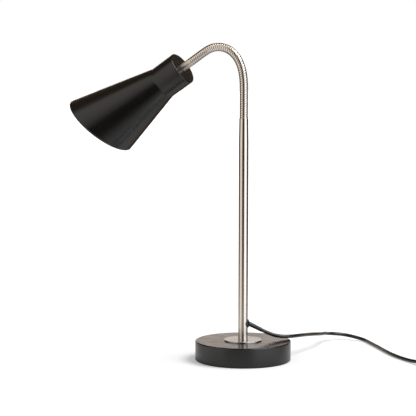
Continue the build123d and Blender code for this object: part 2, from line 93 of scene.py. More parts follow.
def place(origin, axis):
    """A matrix that puts a turned piece's Z along an axis, with its X in the lamp's upright plane."""
    axis = axis.normalized()
    x = SIDE.cross(axis).normalized()
    y = axis.cross(x)
    return Matrix.Translation(origin) @ Matrix((x, y, axis)).transposed().to_4x4()


# ------------------------------------------------------------------ meshes
SHARP_EDGE = 35
ARC_STEPS = 5
NEARLY_STRAIGHT = 0.499 * pi
LONGEST_ARC = 0.49
SUPPORT_REACH = 1.25
LONGEST_SUPPORT = 0.498


def add_mesh(name, vertices, faces, material, matrix=Matrix.Identity(4)):
    """A smooth mesh object from vertices and faces, with its vertices in the lamp's frame."""
    mesh = bpy.data.meshes.new(name)
    mesh.from_pydata([matrix @ Vector(vertex) for vertex in vertices], [], faces)
    mesh.validate()
    mesh.polygons.foreach_set("use_smooth", [True] * len(mesh.polygons))
    mesh.set_sharp_from_angle(angle=radians(SHARP_EDGE))
    mesh.materials.append(material)
    piece = bpy.data.objects.new(name, mesh)
    bpy.context.scene.collection.objects.link(piece)
    return piece


def rounded(outline):
    """The (radius, height) points of an outline of (radius, height, corner radius) points.

    Each corner is an arc, made smaller where it would take up more than its share of a side.
    A point just outside each end of an arc keeps the flat faces beside it flat to the eye."""
    points = [Vector(point[:2]) for point in outline]
    result = [points[0]]
    for before, corner, after, (_, _, size) in zip(points, points[1:], points[2:], outline[1:]):
        run_in = (before - corner).length
        run_out = (after - corner).length
        to_before = (before - corner) / run_in
        to_after = (after - corner) / run_out
        half = to_before.angle(to_after) / 2
        if size == 0 or half > NEARLY_STRAIGHT:
            result.append(corner)
            continue
        reach = min(size / tan(half), LONGEST_ARC * min(run_in, run_out))
        arc = reach * tan(half)
        centre = corner + (to_before + to_after).normalized() * (arc / sin(half))
        start = (corner + to_before * reach - centre).normalized()
        end = (corner + to_after * reach - centre).normalized()
        result.append(corner + to_before * min(reach * SUPPORT_REACH, LONGEST_SUPPORT * run_in))
        for step in range(ARC_STEPS + 1):
            result.append(centre + arc * start.slerp(end, step / ARC_STEPS))
        result.append(corner + to_after * min(reach * SUPPORT_REACH, LONGEST_SUPPORT * run_out))
    result.append(points[-1])
    return result


def bands(rings, points):
    """The faces of so many bands of a tube whose rings have so many points each."""
    faces = []
    for low in range(0, rings * points, points):
        for step in range(points):
            after = (step + 1) % points
            faces.append((low + step, low + after, low + points + after, low + points + step))
    return faces


def turned(name, outline, material, matrix=Matrix.Identity(4), segments=96):
    """A piece turned about Z from (radius, height, corner radius) points, open at both ends."""
    profile = rounded(outline)
    vertices = []
    for radius, height in profile:
        for step in range(segments):
            angle = 2 * pi * step / segments
            vertices.append((radius * cos(angle), radius * sin(angle), height))
    return add_mesh(name, vertices, bands(len(profile) - 1, segments), material, matrix)


# ------------------------------------------------------------------ material helpers
NOISE_LOW = 0.3
NOISE_HIGH = 0.7
MIX_SHARE = 0
MIX_LOW = 6
MIX_HIGH = 7
MIX_RESULT = 2


def new_material(name, colour, roughness, **sockets):
    """A principled material. Further sockets are named with underscores for spaces."""
    material = bpy.data.materials.new(name)
    material.use_nodes = True
    shader = material.node_tree.nodes["Principled BSDF"]
    shader.inputs["Base Color"].default_value = (*colour, 1)
    shader.inputs["Roughness"].default_value = roughness
    for socket, value in sockets.items():
        shader.inputs[socket.replace("_", " ")].default_value = value
    return material


def noise(material, scale, stretch=(1, 1, 1), detail=3):
    """A noise texture in the piece's own coordinates, which the other helpers use."""
    tree = material.node_tree
    where = tree.nodes.new("ShaderNodeTexCoord")
    mapping = tree.nodes.new("ShaderNodeMapping")
    mapping.inputs["Scale"].default_value = stretch
    texture = tree.nodes.new("ShaderNodeTexNoise")
    texture.inputs["Scale"].default_value = scale
    texture.inputs["Detail"].default_value = detail
    tree.links.new(where.outputs["Object"], mapping.inputs["Vector"])
    tree.links.new(mapping.outputs["Vector"], texture.inputs["Vector"])
    return texture


def between(material, texture, socket, low, high):
    """Lets a texture set a shader socket, between two numbers or two colours."""
    tree = material.node_tree
    shader = tree.nodes["Principled BSDF"]
    if isinstance(low, tuple):
        ramp = tree.nodes.new("ShaderNodeValToRGB")
        ramp.color_ramp.elements[0].position = NOISE_LOW
        ramp.color_ramp.elements[1].position = NOISE_HIGH
        ramp.color_ramp.elements[0].color = (*low, 1)
        ramp.color_ramp.elements[1].color = (*high, 1)
        tree.links.new(texture.outputs["Fac"], ramp.inputs["Fac"])
        tree.links.new(ramp.outputs["Color"], shader.inputs[socket])
        return
    spread = tree.nodes.new("ShaderNodeMapRange")
    spread.inputs["From Min"].default_value = NOISE_LOW
    spread.inputs["From Max"].default_value = NOISE_HIGH
    spread.inputs["To Min"].default_value = low
    spread.inputs["To Max"].default_value = high
    tree.links.new(texture.outputs["Fac"], spread.inputs["Value"])
    tree.links.new(spread.outputs["Result"], shader.inputs[socket])


def bumped(material, texture, height, strength):
    """Raises the surface by a texture, by so many metres from its lowest to its highest."""
    tree = material.node_tree
    bump = tree.nodes.new("ShaderNodeBump")
    bump.inputs["Strength"].default_value = strength
    bump.inputs["Distance"].default_value = height
    tree.links.new(texture.outputs["Fac"], bump.inputs["Height"])
    tree.links.new(bump.outputs["Normal"], tree.nodes["Principled BSDF"].inputs["Normal"])


def mixed(tree, share, low, high):
    """A mix of two colours, each a socket or a plain colour."""
    mix = tree.nodes.new("ShaderNodeMix")
    mix.data_type = "RGBA"
    tree.links.new(share, mix.inputs[MIX_SHARE])
    for socket, colour in ((mix.inputs[MIX_LOW], low), (mix.inputs[MIX_HIGH], high)):
        if isinstance(colour, tuple):
            socket.default_value = (*colour, 1)
        else:
            tree.links.new(colour, socket)
    return mix.outputs[MIX_RESULT]


# ------------------------------------------------------------------ materials
WARM_NICKEL = (0.68, 0.63, 0.565)
GREY_NICKEL = (0.51, 0.515, 0.52)
SLEEVE_NICKEL = (0.8, 0.74, 0.67)
# The dark colour painted into the neck's grooves as shade.
PAINTED_GROOVE_SHADE = (0.04, 0.03, 0.024)
QUARTER_TURN = 0.25


def powder_coat():
    """Black satin powder coat: a fine orange peel and slightly uneven gloss."""
    darker = (0.005, 0.0048, 0.0046)
    paler = (0.0062, 0.0059, 0.0056)
    material = new_material("black_powder_coat", (0.0055, 0.0053, 0.005), 0.26)
    between(material, noise(material, scale=60), "Roughness", 0.24, 0.29)
    between(material, noise(material, scale=15), "Base Color", darker, paler)
    bumped(material, noise(material, scale=900, detail=2), height=0.01 * MM, strength=0.15)
    return material


def brushed_nickel(name, stretch, roughness, spread=0.0, tint=WARM_NICKEL):
    """Nickel with a fine brushed grain, drawn out along the axes with a small stretch.

    A spread blurs what it mirrors along the axis it was turned about, and not across it."""
    material = new_material(name, tint, roughness, Metallic=1.0, Anisotropic=spread)
    grain = noise(material, scale=1500, stretch=stretch, detail=4)
    between(material, grain, "Roughness", roughness * 0.8, roughness * 1.2)
    dull, bright = (tuple(share * level for level in tint) for share in (0.97, 1.03))
    between(material, noise(material, scale=40), "Base Color", dull, bright)
    bumped(material, grain, height=0.002 * MM, strength=0.2)
    if spread:
        tree = material.node_tree
        tangent = tree.nodes.new("ShaderNodeTangent")
        tangent.direction_type = "RADIAL"
        tangent.axis = "Z"
        shader = tree.nodes["Principled BSDF"]
        shader.inputs["Anisotropic Rotation"].default_value = QUARTER_TURN
        tree.links.new(tangent.outputs["Tangent"], shader.inputs["Tangent"])
    return material


def paint_groove_shade(material):
    """Paints shade into a metal's grooves, where its mesh's groove attribute marks the valleys."""
    tree = material.node_tree
    colour = tree.nodes["Principled BSDF"].inputs["Base Color"]
    attribute = tree.nodes.new("ShaderNodeAttribute")
    attribute.attribute_name = "groove"
    plain = colour.links[0].from_socket
    tree.links.new(mixed(tree, attribute.outputs["Fac"], plain, PAINTED_GROOVE_SHADE), colour)
    return material


def moulded(name, colour, roughness, grain=1400):
    """Moulded plastic or rubber with a fine even grain."""
    uneven = 0.05
    material = new_material(name, colour, roughness)
    between(material, noise(material, scale=35), "Roughness", roughness - uneven, roughness + uneven)
    bumped(material, noise(material, scale=grain, detail=2), height=0.015 * MM, strength=0.3)
    return material


def plain_metal(name, colour, roughness):
    """Plated or bare metal with faint smears."""
    smoother = 0.06
    rougher = 0.08
    material = new_material(name, colour, roughness, Metallic=1.0)
    between(material, noise(material, scale=120), "Roughness", roughness - smoother, roughness + rougher)
    bumped(material, noise(material, scale=700), height=0.005 * MM, strength=0.2)
    return material


def opal():
    """The bulb's satin opal glass."""
    darker = (0.84, 0.84, 0.82)
    paler = (0.88, 0.88, 0.86)
    material = new_material("opal_glass", (0.86, 0.86, 0.84), 0.28, Coat_Weight=0.3)
    between(material, noise(material, scale=50), "Base Color", darker, paler)
    return material


COAT = powder_coat()
NICKEL_POLE = brushed_nickel("nickel_pole", (1, 1, 0.04), 0.22, spread=0.95)
NICKEL_DISC = brushed_nickel("nickel_disc", (0.12, 1, 1), 0.28, tint=GREY_NICKEL)
# The neck's nickel, with shade painted into its grooves.
NICKEL_NECK = paint_groove_shade(brushed_nickel("nickel_neck", (1, 1, 1), 0.16))
NICKEL_SLEEVE = brushed_nickel("nickel_sleeve", (1, 1, 1), 0.5, tint=SLEEVE_NICKEL)
CORD = moulded("cord_sheath", (0.011, 0.011, 0.011), 0.24)
GROMMET = moulded("grommet_rubber", (0.016, 0.016, 0.016), 0.27)
PLASTIC = moulded("black_plastic", (0.02, 0.02, 0.021), 0.45)
RUBBER = moulded("pad_rubber", (0.012, 0.012, 0.012), 0.85, grain=500)
IRON = moulded("cast_iron", (0.12, 0.12, 0.125), 0.7, grain=300)
CERAMIC = moulded("white_ceramic", (0.82, 0.8, 0.75), 0.3)
BLACK_GLASS = moulded("black_glass", (0.01, 0.01, 0.01), 0.12)
ZINC = plain_metal("zinc_plate", (0.72, 0.72, 0.7), 0.3)
BRASS = plain_metal("brass", (0.76, 0.6, 0.3), 0.25)
ALUMINIUM = plain_metal("bulb_cap_metal", (0.78, 0.78, 0.77), 0.28)
OPAL = opal()


# ------------------------------------------------------------------ camera
CAMERA_AZIMUTH = 23.71
CAMERA_ELEVATION = 10.755
CAMERA_DISTANCE = 2.015
CAMERA_PAN = -1.388
CAMERA_TILT = 4.865
CAMERA_ROLL = 0.095
LENS = 127.1
SENSOR_WIDTH = 36


def add_camera():
    """The photograph's view. The pan, tilt and roll are small turns from the line to the base."""
    level = CAMERA_DISTANCE * cos(radians(CAMERA_ELEVATION))
    azimuth = radians(CAMERA_AZIMUTH)
    height = CAMERA_DISTANCE * sin(radians(CAMERA_ELEVATION))
    spot = Vector((level * sin(azimuth), -level * cos(azimuth), height))
    heading = azimuth - radians(CAMERA_PAN)
    tilt = radians(CAMERA_TILT)
    forward = Vector((-sin(heading) * cos(tilt), cos(heading) * cos(tilt), -sin(tilt)))
    right = Vector((cos(heading), sin(heading), 0))
    up = right.cross(forward)
    roll = radians(CAMERA_ROLL)
    right, up = cos(roll) * right + sin(roll) * up, cos(roll) * up - sin(roll) * right
    data = bpy.data.cameras.new("camera")
    data.lens = LENS
    data.sensor_width = SENSOR_WIDTH
    camera = bpy.data.objects.new("camera", data)
    camera.matrix_world = Matrix.Translation(spot) @ Matrix((right, up, -forward)).transposed().to_4x4()
    bpy.context.scene.collection.objects.link(camera)
    bpy.context.scene.camera = camera


# ------------------------------------------------------------------ mains cord
CORD_DIAMETER = 5 * MM
REST = 2.55
TAIL_TIP = (21.28, 13.19, 40.92)
FROM_TAIL = (32.08, 21.04, 34.11)
TO_SWITCH = [
    (44.7, 27.9, 31.0),
    (54.6, 40.6, 29.9),
    (58.6, 62.5, 28.3),
    (59.3, 96.0, 24.6),
    (63.1, 136.1, 19.4),
    (50.8, 186.2, 11.4),
    (70.6, 210.5, 7.7),
    (101.0, 209.4, REST),
    (119.8, 184.8, REST),
    (141.1, 157.4, REST),
    (164.2, 126.0, REST),
    (185.2, 101.5, REST),
    (206.0, 83.0, REST),
    (223.0, 69.3, 3.5),
]
SWITCH_START = (246.0, 50.0)
SWITCH_HEADING = -40.0
SWITCH_WHOLE = 62.0
SWITCH_RUN = 13.0
SWITCH_SPLIT = 7.0
TO_COIL = [
    (313.4, -7.2, 4.2),
    (323.5, -15.2, 3.35),
    (333.0, -19.3, 3.35),
]
COIL_CENTRE = (344.7, 16.0)
COIL_RADII = (37.2, 20.8)
COIL_HEIGHTS = (3.3, 8.4)
COIL_START = -110.0
COIL_TURNS_PER_LAYER = 3.22
COIL_STEPS = 16
COIL_CLIMB_STEPS = COIL_STEPS / 3
TO_PLUG = [
    (369.6, 43.6, 8.4),
    (355.0, 57.0, 6.8),
]
PLUG_START = (326.0, 72.0, 6.8)


def coil_points():
    """The coil's turns: inwards on the table, up at the inner turn, and outwards on top."""
    outer, inner = COIL_RADII
    low, high = COIL_HEIGHTS
    layer_steps = round(COIL_TURNS_PER_LAYER * COIL_STEPS)
    control = 1 / cos(pi / COIL_STEPS)
    points = []
    for step in range(1, 2 * layer_steps):
        angle = radians(COIL_START + 360 * step * COIL_TURNS_PER_LAYER / layer_steps)
        share = abs(step - layer_steps) / layer_steps
        radius = control * (inner + (outer - inner) * share)
        climb = min(max((step - layer_steps) / COIL_CLIMB_STEPS + 0.5, 0), 1)
        height = low + (high - low) * climb * climb * (3 - 2 * climb)
        points.append((COIL_CENTRE[0] + radius * cos(angle), COIL_CENTRE[1] + radius * sin(angle), height))
    return points


def switch_stations():
    """Points on the switch's axis: straight into it, both its ends, and straight out."""
    turn = radians(SWITCH_HEADING)
    return [
        (SWITCH_START[0] + along * cos(turn), SWITCH_START[1] + along * sin(turn), SWITCH_SPLIT)
        for along in (-SWITCH_RUN, 0, SWITCH_WHOLE, SWITCH_WHOLE + SWITCH_RUN)
    ]


def add_cord():
    """The whole mains cord as one smooth curve, through the switch and the coil to the plug."""
    route = [TAIL_TIP, FROM_TAIL, *TO_SWITCH, *switch_stations(), *TO_COIL]
    route += [*coil_points(), *TO_PLUG, PLUG_START]
    curve = bpy.data.curves.new("mains_cord", "CURVE")
    curve.dimensions = "3D"
    curve.bevel_depth = CORD_DIAMETER / 2
    curve.bevel_resolution = 5
    curve.resolution_u = 8
    curve.use_fill_caps = True
    spline = curve.splines.new("NURBS")
    spline.points.add(len(route) - 1)
    for point, spot in zip(spline.points, route):
        point.co = (*[value * MM for value in spot], 1)
    spline.order_u = 3
    spline.use_endpoint_u = True
    curve.materials.append(CORD)
    cord = bpy.data.objects.new("mains_cord", curve)
    bpy.context.scene.collection.objects.link(cord)
    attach(cord, "stand")
    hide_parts("cord_to_switch", "cord_to_coil", "cord_coil", "cord_to_plug")


add_camera()
add_cord()


# ------------------------------------------------------------------ base
BASE_RADIUS = 65 * MM
BASE_TOP = 26.8 * MM
STUD_HOLE = 5.0 * MM
SHELL_LOW = 1.0 * MM
SHELL_WALL = 1.2 * MM
SHELL_EDGE = 1.3 * MM
SHELL_EDGE_INSIDE = 0.6 * MM
SHELL_HEM = 0.4 * MM
SHELL_HEM_INSIDE = 0.3 * MM
ROSETTE_RADIUS = 26 * MM
ROSETTE_TOP = 28.3 * MM
ROSETTE_EDGE = 0.3 * MM
ROSETTE_FOOT = 0.1 * MM


def add_shell():
    """The pressed shell with its rounded edge."""
    inner = BASE_RADIUS - SHELL_WALL
    shell = turned("base_cover", [
        (STUD_HOLE, BASE_TOP - SHELL_WALL, 0),
        (inner, BASE_TOP - SHELL_WALL, SHELL_EDGE_INSIDE),
        (inner, SHELL_LOW, SHELL_HEM_INSIDE),
        (BASE_RADIUS, SHELL_LOW, SHELL_HEM),
        (BASE_RADIUS, BASE_TOP, SHELL_EDGE),
        (STUD_HOLE, BASE_TOP, 0),
    ], COAT, segments=192)
    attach(shell, "stand")
    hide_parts("base_shell")


def add_rosette():
    """The flat disc under the pole, with its upper edge rounded off."""
    disc = turned("rosette_disc", [
        (STUD_HOLE, BASE_TOP, 0),
        (ROSETTE_RADIUS, BASE_TOP, ROSETTE_FOOT),
        (ROSETTE_RADIUS, ROSETTE_TOP, ROSETTE_EDGE),
        (STUD_HOLE, ROSETTE_TOP, 0),
    ], NICKEL_DISC, segments=144)
    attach(disc, "stand")
    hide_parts("rosette")


# ------------------------------------------------------------------ pole
POLE_RADIUS = 6.5 * MM
POLE_WALL = 1.0 * MM
POLE_FOOT = 0.3 * MM
SWAGE_RADIUS = 6.0 * MM
SWAGE_LENGTH = 33 * MM
SWAGE_BEND = 60 * MM
SWAGE_EDGE = 0.5 * MM
COLLAR_BORE = 4.7 * MM
COLLAR_BORE_EDGE = 0.2 * MM
COLLAR_DEPTH = 6 * MM


def add_pole():
    """The tube, drawn in towards its top, where it grips the neck."""
    top = COLLAR.z
    pole = turned("pole_tube", [
        (POLE_RADIUS - POLE_WALL, ROSETTE_TOP, 0),
        (POLE_RADIUS, ROSETTE_TOP, POLE_FOOT),
        (POLE_RADIUS, top - SWAGE_LENGTH, SWAGE_BEND),
        (SWAGE_RADIUS, top, SWAGE_EDGE),
        (COLLAR_BORE, top, COLLAR_BORE_EDGE),
        (COLLAR_BORE, top - COLLAR_DEPTH, 0),
    ], NICKEL_POLE)
    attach(pole, "stand")
    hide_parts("pole")


# ------------------------------------------------------------------ grommet
GROMMET_HEIGHT = 50 * MM
GROMMET_TURN = 22
GROMMET_RADIUS = 5.6 * MM
GROMMET_PROUD = 1.8 * MM
FLANGE_RINGS = 12
FLANGE_POINTS = 64
FLANGE_SUNK = 0.1 * MM
FLANGE_FULLNESS = 1.12
FLANGE_ROUNDNESS = 4
TAIL_LENGTH = 20 * MM
TAIL_TURN = 36
TAIL_DROP = 27
TAIL_FOOT_RADIUS = 3.1 * MM
TAIL_SHOULDER = (3.05 * MM, 6 * MM, 0.3 * MM)
TAIL_TIP_RADIUS = 2.8 * MM
TAIL_TIP_EDGE = 0.25 * MM
TAIL_GROOVES = 4
TAIL_GROOVE_START = 7.0 * MM
TAIL_GROOVE_PITCH = 2.6 * MM
TAIL_GROOVE_RADIUS = 3.02 * MM
TAIL_GROOVE_TAPER = 0.06 * MM
TAIL_GROOVE_DEPTH = 0.35 * MM
TAIL_GROOVE_LENGTH = 1.2 * MM
TAIL_GROOVE_SLOPE = 0.3 * MM
TAIL_GROOVE_EDGE = 0.2 * MM


def flange_mesh():
    """A dome whose rim follows the pole's side: its points, and the faces between its rings."""
    vertices = [(POLE_RADIUS + GROMMET_PROUD, 0, 0)]
    for ring in range(1, FLANGE_RINGS + 1):
        share = ring / FLANGE_RINGS
        reach = GROMMET_RADIUS * min(share * FLANGE_FULLNESS, 1)
        rise = GROMMET_PROUD * sqrt(max(1 - share**FLANGE_ROUNDNESS, 0))
        for step in range(FLANGE_POINTS):
            angle = 2 * pi * step / FLANGE_POINTS
            side = reach * cos(angle)
            depth = sqrt(POLE_RADIUS**2 - side**2) + rise
            vertices.append((depth - FLANGE_SUNK, side, reach * sin(angle)))
    faces = [(0, 1 + step, 1 + (step + 1) % FLANGE_POINTS) for step in range(FLANGE_POINTS)]
    for ring in range(FLANGE_RINGS - 1):
        low = 1 + ring * FLANGE_POINTS
        high = low + FLANGE_POINTS
        for step in range(FLANGE_POINTS):
            after = (step + 1) % FLANGE_POINTS
            faces.append((low + step, high + step, high + after, low + after))
    return vertices, faces


def tail_outline():
    """The tapered tail's outline, with the grooves that let it flex."""
    outline = [(TAIL_FOOT_RADIUS, 0, 0), TAIL_SHOULDER]
    for groove in range(TAIL_GROOVES):
        low = TAIL_GROOVE_START + TAIL_GROOVE_PITCH * groove
        high = low + TAIL_GROOVE_LENGTH
        radius = TAIL_GROOVE_RADIUS - groove * TAIL_GROOVE_TAPER
        outline += [
            (radius, low, TAIL_GROOVE_EDGE),
            (radius - TAIL_GROOVE_DEPTH, low + TAIL_GROOVE_SLOPE, TAIL_GROOVE_EDGE),
            (radius - TAIL_GROOVE_DEPTH, high - TAIL_GROOVE_SLOPE, TAIL_GROOVE_EDGE),
            (radius - TAIL_GROOVE_TAPER / 2, high, TAIL_GROOVE_EDGE),
        ]
    outline.append((TAIL_TIP_RADIUS, TAIL_LENGTH, TAIL_TIP_EDGE))
    outline.append((CORD_DIAMETER / 2, TAIL_LENGTH, 0))
    return outline


def add_grommet():
    """The grommet's domed flange, which follows the pole's side, and its tapered tail."""
    turn = Matrix.Rotation(radians(GROMMET_TURN), 4, "Z") @ Matrix.Translation((0, 0, GROMMET_HEIGHT))
    flange = add_mesh("grommet_flange", *flange_mesh(), GROMMET, turn)
    tail_axis = Vector((
        cos(radians(TAIL_DROP)) * cos(radians(TAIL_TURN)),
        cos(radians(TAIL_DROP)) * sin(radians(TAIL_TURN)),
        -sin(radians(TAIL_DROP)),
    ))
    start = turn @ Vector((POLE_RADIUS + GROMMET_PROUD / 2, 0, 0))
    tail = turned("grommet_tail", tail_outline(), GROMMET, place(start, tail_axis), segments=48)
    for piece in (flange, tail):
        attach(piece, "stand")
        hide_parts("cord_grommet")


# ------------------------------------------------------------------ gooseneck
RIB_CREST = 5.65 * MM
RIB_DEPTH = 0.7 * MM
RIB_PITCH = 3.05 * MM
RIB_FLATNESS = 6
RING_STEP = 0.2 * MM
RING_POINTS = 40
INTO_COLLAR = 1.5 * MM
INTO_FERRULE = 2.4 * MM
CORE_RADIUS = 4.9 * MM
CORE_FOOT = (4.0 * MM, -2.0 * MM, 0)
CORE_SHOULDER = -1.4 * MM
CORE_BEND = 55
CORE_STEPS = 8
# A stretch that bends with its joint can be thrown off by rounding when its links have also swung
# sideways. With all joints at their limits, joint 5's stretch holds if it is bent from the upper
# link down, and joint 12's holds neither way round, so joint 12's is cut at its ball. The stretches
# that aren't cut, joint 5's among them, are only baked in place here.
BENT_FROM_ABOVE = (5,)
CUT_AT_BALL = (12,)


def hose_stations(start, corner, end, first, last):
    """Places and directions along a curve from start to end, from one share of it to another."""
    rings = max(ceil((end - start).length * (last - first) / RING_STEP), 2)
    stations = []
    for ring in range(rings + 1):
        t = first + (last - first) * ring / rings
        spot = start * (1 - t) ** 2 + corner * 2 * t * (1 - t) + end * t * t
        along = ((corner - start) * (1 - t) + (end - corner) * t).normalized()
        stations.append((spot, along))
    return stations


def neck_stretch(name, start, corner, end, travelled, first=0.0, last=1.0):
    """A stretch of the spiral hose along part of a curve. Returns it and the length travelled."""
    stations = hose_stations(start, corner, end, first, last)
    vertices = []
    valleys = []
    previous = stations[0][0]
    for spot, along in stations:
        travelled += (spot - previous).length
        previous = spot
        outward = SIDE.cross(along)
        for step in range(RING_POINTS):
            turn = step / RING_POINTS
            phase = (travelled / RIB_PITCH - turn) % 1
            valley = abs(2 * phase - 1) ** RIB_FLATNESS
            valleys.append(valley)
            radius = RIB_CREST - RIB_DEPTH * valley
            angle = 2 * pi * turn
            vertices.append(spot + radius * (cos(angle) * outward + sin(angle) * SIDE))
    stretch = add_mesh(name, vertices, bands(len(stations) - 1, RING_POINTS), NICKEL_NECK)
    # The groove attribute marks the valleys, where the neck's material paints shade.
    groove = stretch.data.attributes.new("groove", "FLOAT", "POINT")
    groove.data.foreach_set("value", valleys)
    return stretch, travelled


def neck_core(name, ball, along):
    """The rounded end of the hose's core at a cut, which shows where the cut opens as it bends."""
    outline = [CORE_FOOT, (CORE_RADIUS, CORE_SHOULDER, 0)]
    for step in range(CORE_STEPS + 1):
        bend = radians(CORE_BEND) * step / CORE_STEPS
        outline.append((CORE_RADIUS * cos(bend), CORE_RADIUS * sin(bend), 0))
    return turned(name, outline, NICKEL_SLEEVE, place(ball, along), segments=48)


def add_neck():
    """The spiral hose: a root in the collar, then one stretch per joint.

    Each stretch runs from the middle of one link to the middle of the next and is baked in place,
    except where it is cut at the ball into halves that ride the links."""
    corners = [COLLAR, *BALLS]
    middles = [(low + high) / 2 for low, high in zip(corners, corners[1:])]
    middles.append(BALLS[-1] + SHADE_AXIS * INTO_FERRULE)
    root, travelled = neck_stretch(
        "neck_root", COLLAR - UP * INTO_COLLAR, (COLLAR + middles[0]) / 2, middles[0], 0
    )
    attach(root, "stand")
    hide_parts("neck_link_01")
    for joint, ball in enumerate(BALLS, start=1):
        name = f"neck_hose_{joint:02d}"
        start, end = middles[joint - 1], middles[joint]
        below = "stand" if joint == 1 else f"link_{joint:02d}"
        above = "head" if joint == len(BALLS) else f"link_{joint + 1:02d}"
        if joint in CUT_AT_BALL:
            lower, travelled = neck_stretch(f"{name}_lower", start, ball, end, travelled, last=0.5)
            upper, travelled = neck_stretch(f"{name}_upper", start, ball, end, travelled, first=0.5)
            core = neck_core(f"{name}_core", ball, (end - start).normalized())
            pieces = [lower, upper, core]
            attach(lower, below)
            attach(upper, above)
            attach(core, below)
        else:
            stretch, travelled = neck_stretch(name, start, ball, end, travelled)
            pieces = [stretch]
            if joint in BENT_FROM_ABOVE:
                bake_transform(stretch)
            else:
                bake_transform(stretch)
        for piece in pieces:
            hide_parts(f"neck_link_{joint:02d}")


# ------------------------------------------------------------------ shade
NIPPLE_HOLE = 5.0 * MM
CAP_RADIUS = 23.25 * MM
CAP_LENGTH = 37.3 * MM
CAP_EDGE = 1.5 * MM
CAP_EDGE_INSIDE = 1.0 * MM
CONE_START = 40 * MM
CONE_BEND = 14 * MM
CONE_BEND_SHIFT = 0.4 * MM
CONE_RINGS = 24
SHADE_LENGTH = 150.5 * MM
SHADE_SLOPE = 0.2478
SHADE_WALL = 0.9 * MM
SHADE_SEGMENTS = 192
CONE_WALL = SHADE_WALL * sqrt(1 + SHADE_SLOPE**2)
MOUTH_SLANT = 16
RIM_STEPS = 6


def mouth_reach(angle):
    """How far along its axis the shade reaches at an angle round it."""
    slant = tan(radians(MOUTH_SLANT)) * cos(angle)
    start = CAP_RADIUS - SHADE_SLOPE * CAP_LENGTH
    return (SHADE_LENGTH + slant * start) / (1 - slant * SHADE_SLOPE)


def cone_radius(height, inward):
    """The shade's radius at a height on its cone, less so much of its wall."""
    return CAP_RADIUS + SHADE_SLOPE * (height - CAP_LENGTH) - inward


def shade_profile(reach, outside, inside):
    """The shade's (radius, height) points: down its outside, round its rim and up its inside."""
    start = outside[-1][1]
    middle = reach - CONE_WALL / 2
    heights = [start + (middle - start) * (ring / CONE_RINGS) for ring in range(1, CONE_RINGS + 1)]
    profile = [tuple(point) for point in outside]
    profile += [(cone_radius(height, 0), height) for height in heights]
    for step in range(1, RIM_STEPS):
        bend = pi * step / RIM_STEPS
        height = middle + CONE_WALL / 2 * sin(bend)
        profile.append((cone_radius(middle, CONE_WALL / 2 * (1 - cos(bend))), height))
    profile += [(cone_radius(height, CONE_WALL), height) for height in reversed(heights)]
    profile += [tuple(point) for point in inside]
    return profile


def add_shade():
    """The spun shade: cap, short cylinder and cone, with its rim cut on a slant and rounded."""
    outside = rounded([
        (NIPPLE_HOLE, 0, 0),
        (CAP_RADIUS, 0, CAP_EDGE),
        (CAP_RADIUS, CAP_LENGTH, CONE_BEND),
        (CAP_RADIUS + SHADE_SLOPE * CONE_START, CAP_LENGTH + CONE_START, 0),
    ])
    inside = rounded([
        (CAP_RADIUS - CONE_WALL + SHADE_SLOPE * CONE_START, CAP_LENGTH + CONE_START, 0),
        (CAP_RADIUS - SHADE_WALL, CAP_LENGTH + CONE_BEND_SHIFT, CONE_BEND),
        (CAP_RADIUS - SHADE_WALL, SHADE_WALL, CAP_EDGE_INSIDE),
        (NIPPLE_HOLE, SHADE_WALL, 0),
    ])
    vertices = []
    for step in range(SHADE_SEGMENTS):
        angle = 2 * pi * step / SHADE_SEGMENTS
        for radius, height in shade_profile(mouth_reach(angle), outside, inside):
            vertices.append((radius * cos(angle), radius * sin(angle), height))
    count = len(vertices) // SHADE_SEGMENTS
    faces = []
    for step in range(SHADE_SEGMENTS):
        here = step * count
        after = (step + 1) % SHADE_SEGMENTS * count
        for row in range(count - 1):
            faces.append((here + row, after + row, after + row + 1, here + row + 1))
    shade = add_mesh("shade_spun", vertices, faces, COAT, place(SHADE_CAP, SHADE_AXIS))
    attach(shade, "head")
    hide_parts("shade")


# ------------------------------------------------------------------ ferrule
SLEEVE_RADIUS = 5.6 * MM
SLEEVE_MOUTH = (4.4 * MM, 1.6 * MM, 0)
SLEEVE_START = 1.4 * MM
SLEEVE_MOUTH_EDGE = 0.3 * MM
SLEEVE_FOOT_EDGE = 0.2 * MM


def add_ferrule():
    """The plain sleeve between the neck and the shade."""
    ferrule = turned("ferrule_sleeve", [
        SLEEVE_MOUTH,
        (SLEEVE_RADIUS, SLEEVE_START, SLEEVE_MOUTH_EDGE),
        (SLEEVE_RADIUS, FERRULE_LENGTH, SLEEVE_FOOT_EDGE),
        (NIPPLE_HOLE, FERRULE_LENGTH, 0),
    ], NICKEL_SLEEVE, place(BALLS[-1], SHADE_AXIS), segments=64)
    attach(ferrule, "head")
    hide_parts("neck_ferrule")


# ------------------------------------------------------------------ lampholder, from the shade's cap
INSIDE_SHADE = place(SHADE_CAP, SHADE_AXIS)
HOLDER_SEGMENTS = 72
HOLDER_TOP = 4.4 * MM
HOLDER_SPLIT = 22.4 * MM
HOLDER_CAP_RADIUS = 17.5 * MM
HOLDER_CAP_EDGE = 2.5 * MM
HOLDER_CAP_HEM = 0.3 * MM
HOLDER_CAP_HEM_INSIDE = 0.2 * MM
HOLDER_CAP_BORE = 15.5 * MM
HOLDER_CAP_LEDGE = 17.6 * MM
SKIRT_RADIUS = 19.5 * MM
SKIRT_BORE = 13.5 * MM
SKIRT_LENGTH = 52.4 * MM
SKIRT_TOP_EDGE = 0.6 * MM
SKIRT_RIM = 1.5 * MM
SKIRT_RIM_INSIDE = 0.6 * MM
RIDGES = 6
RIDGE_START = 25.0 * MM
RIDGE_PITCH = 3.2 * MM
RIDGE_VALLEY = 18.9 * MM
RIDGE_GAP = 1.8 * MM
RIDGE_SLOPE = 0.5 * MM
RIDGE_EDGE = 0.3 * MM
SKIRT_THREADS = 7
SKIRT_THREAD_START = 50.0 * MM
SKIRT_THREAD_RADIUS = 14.3 * MM
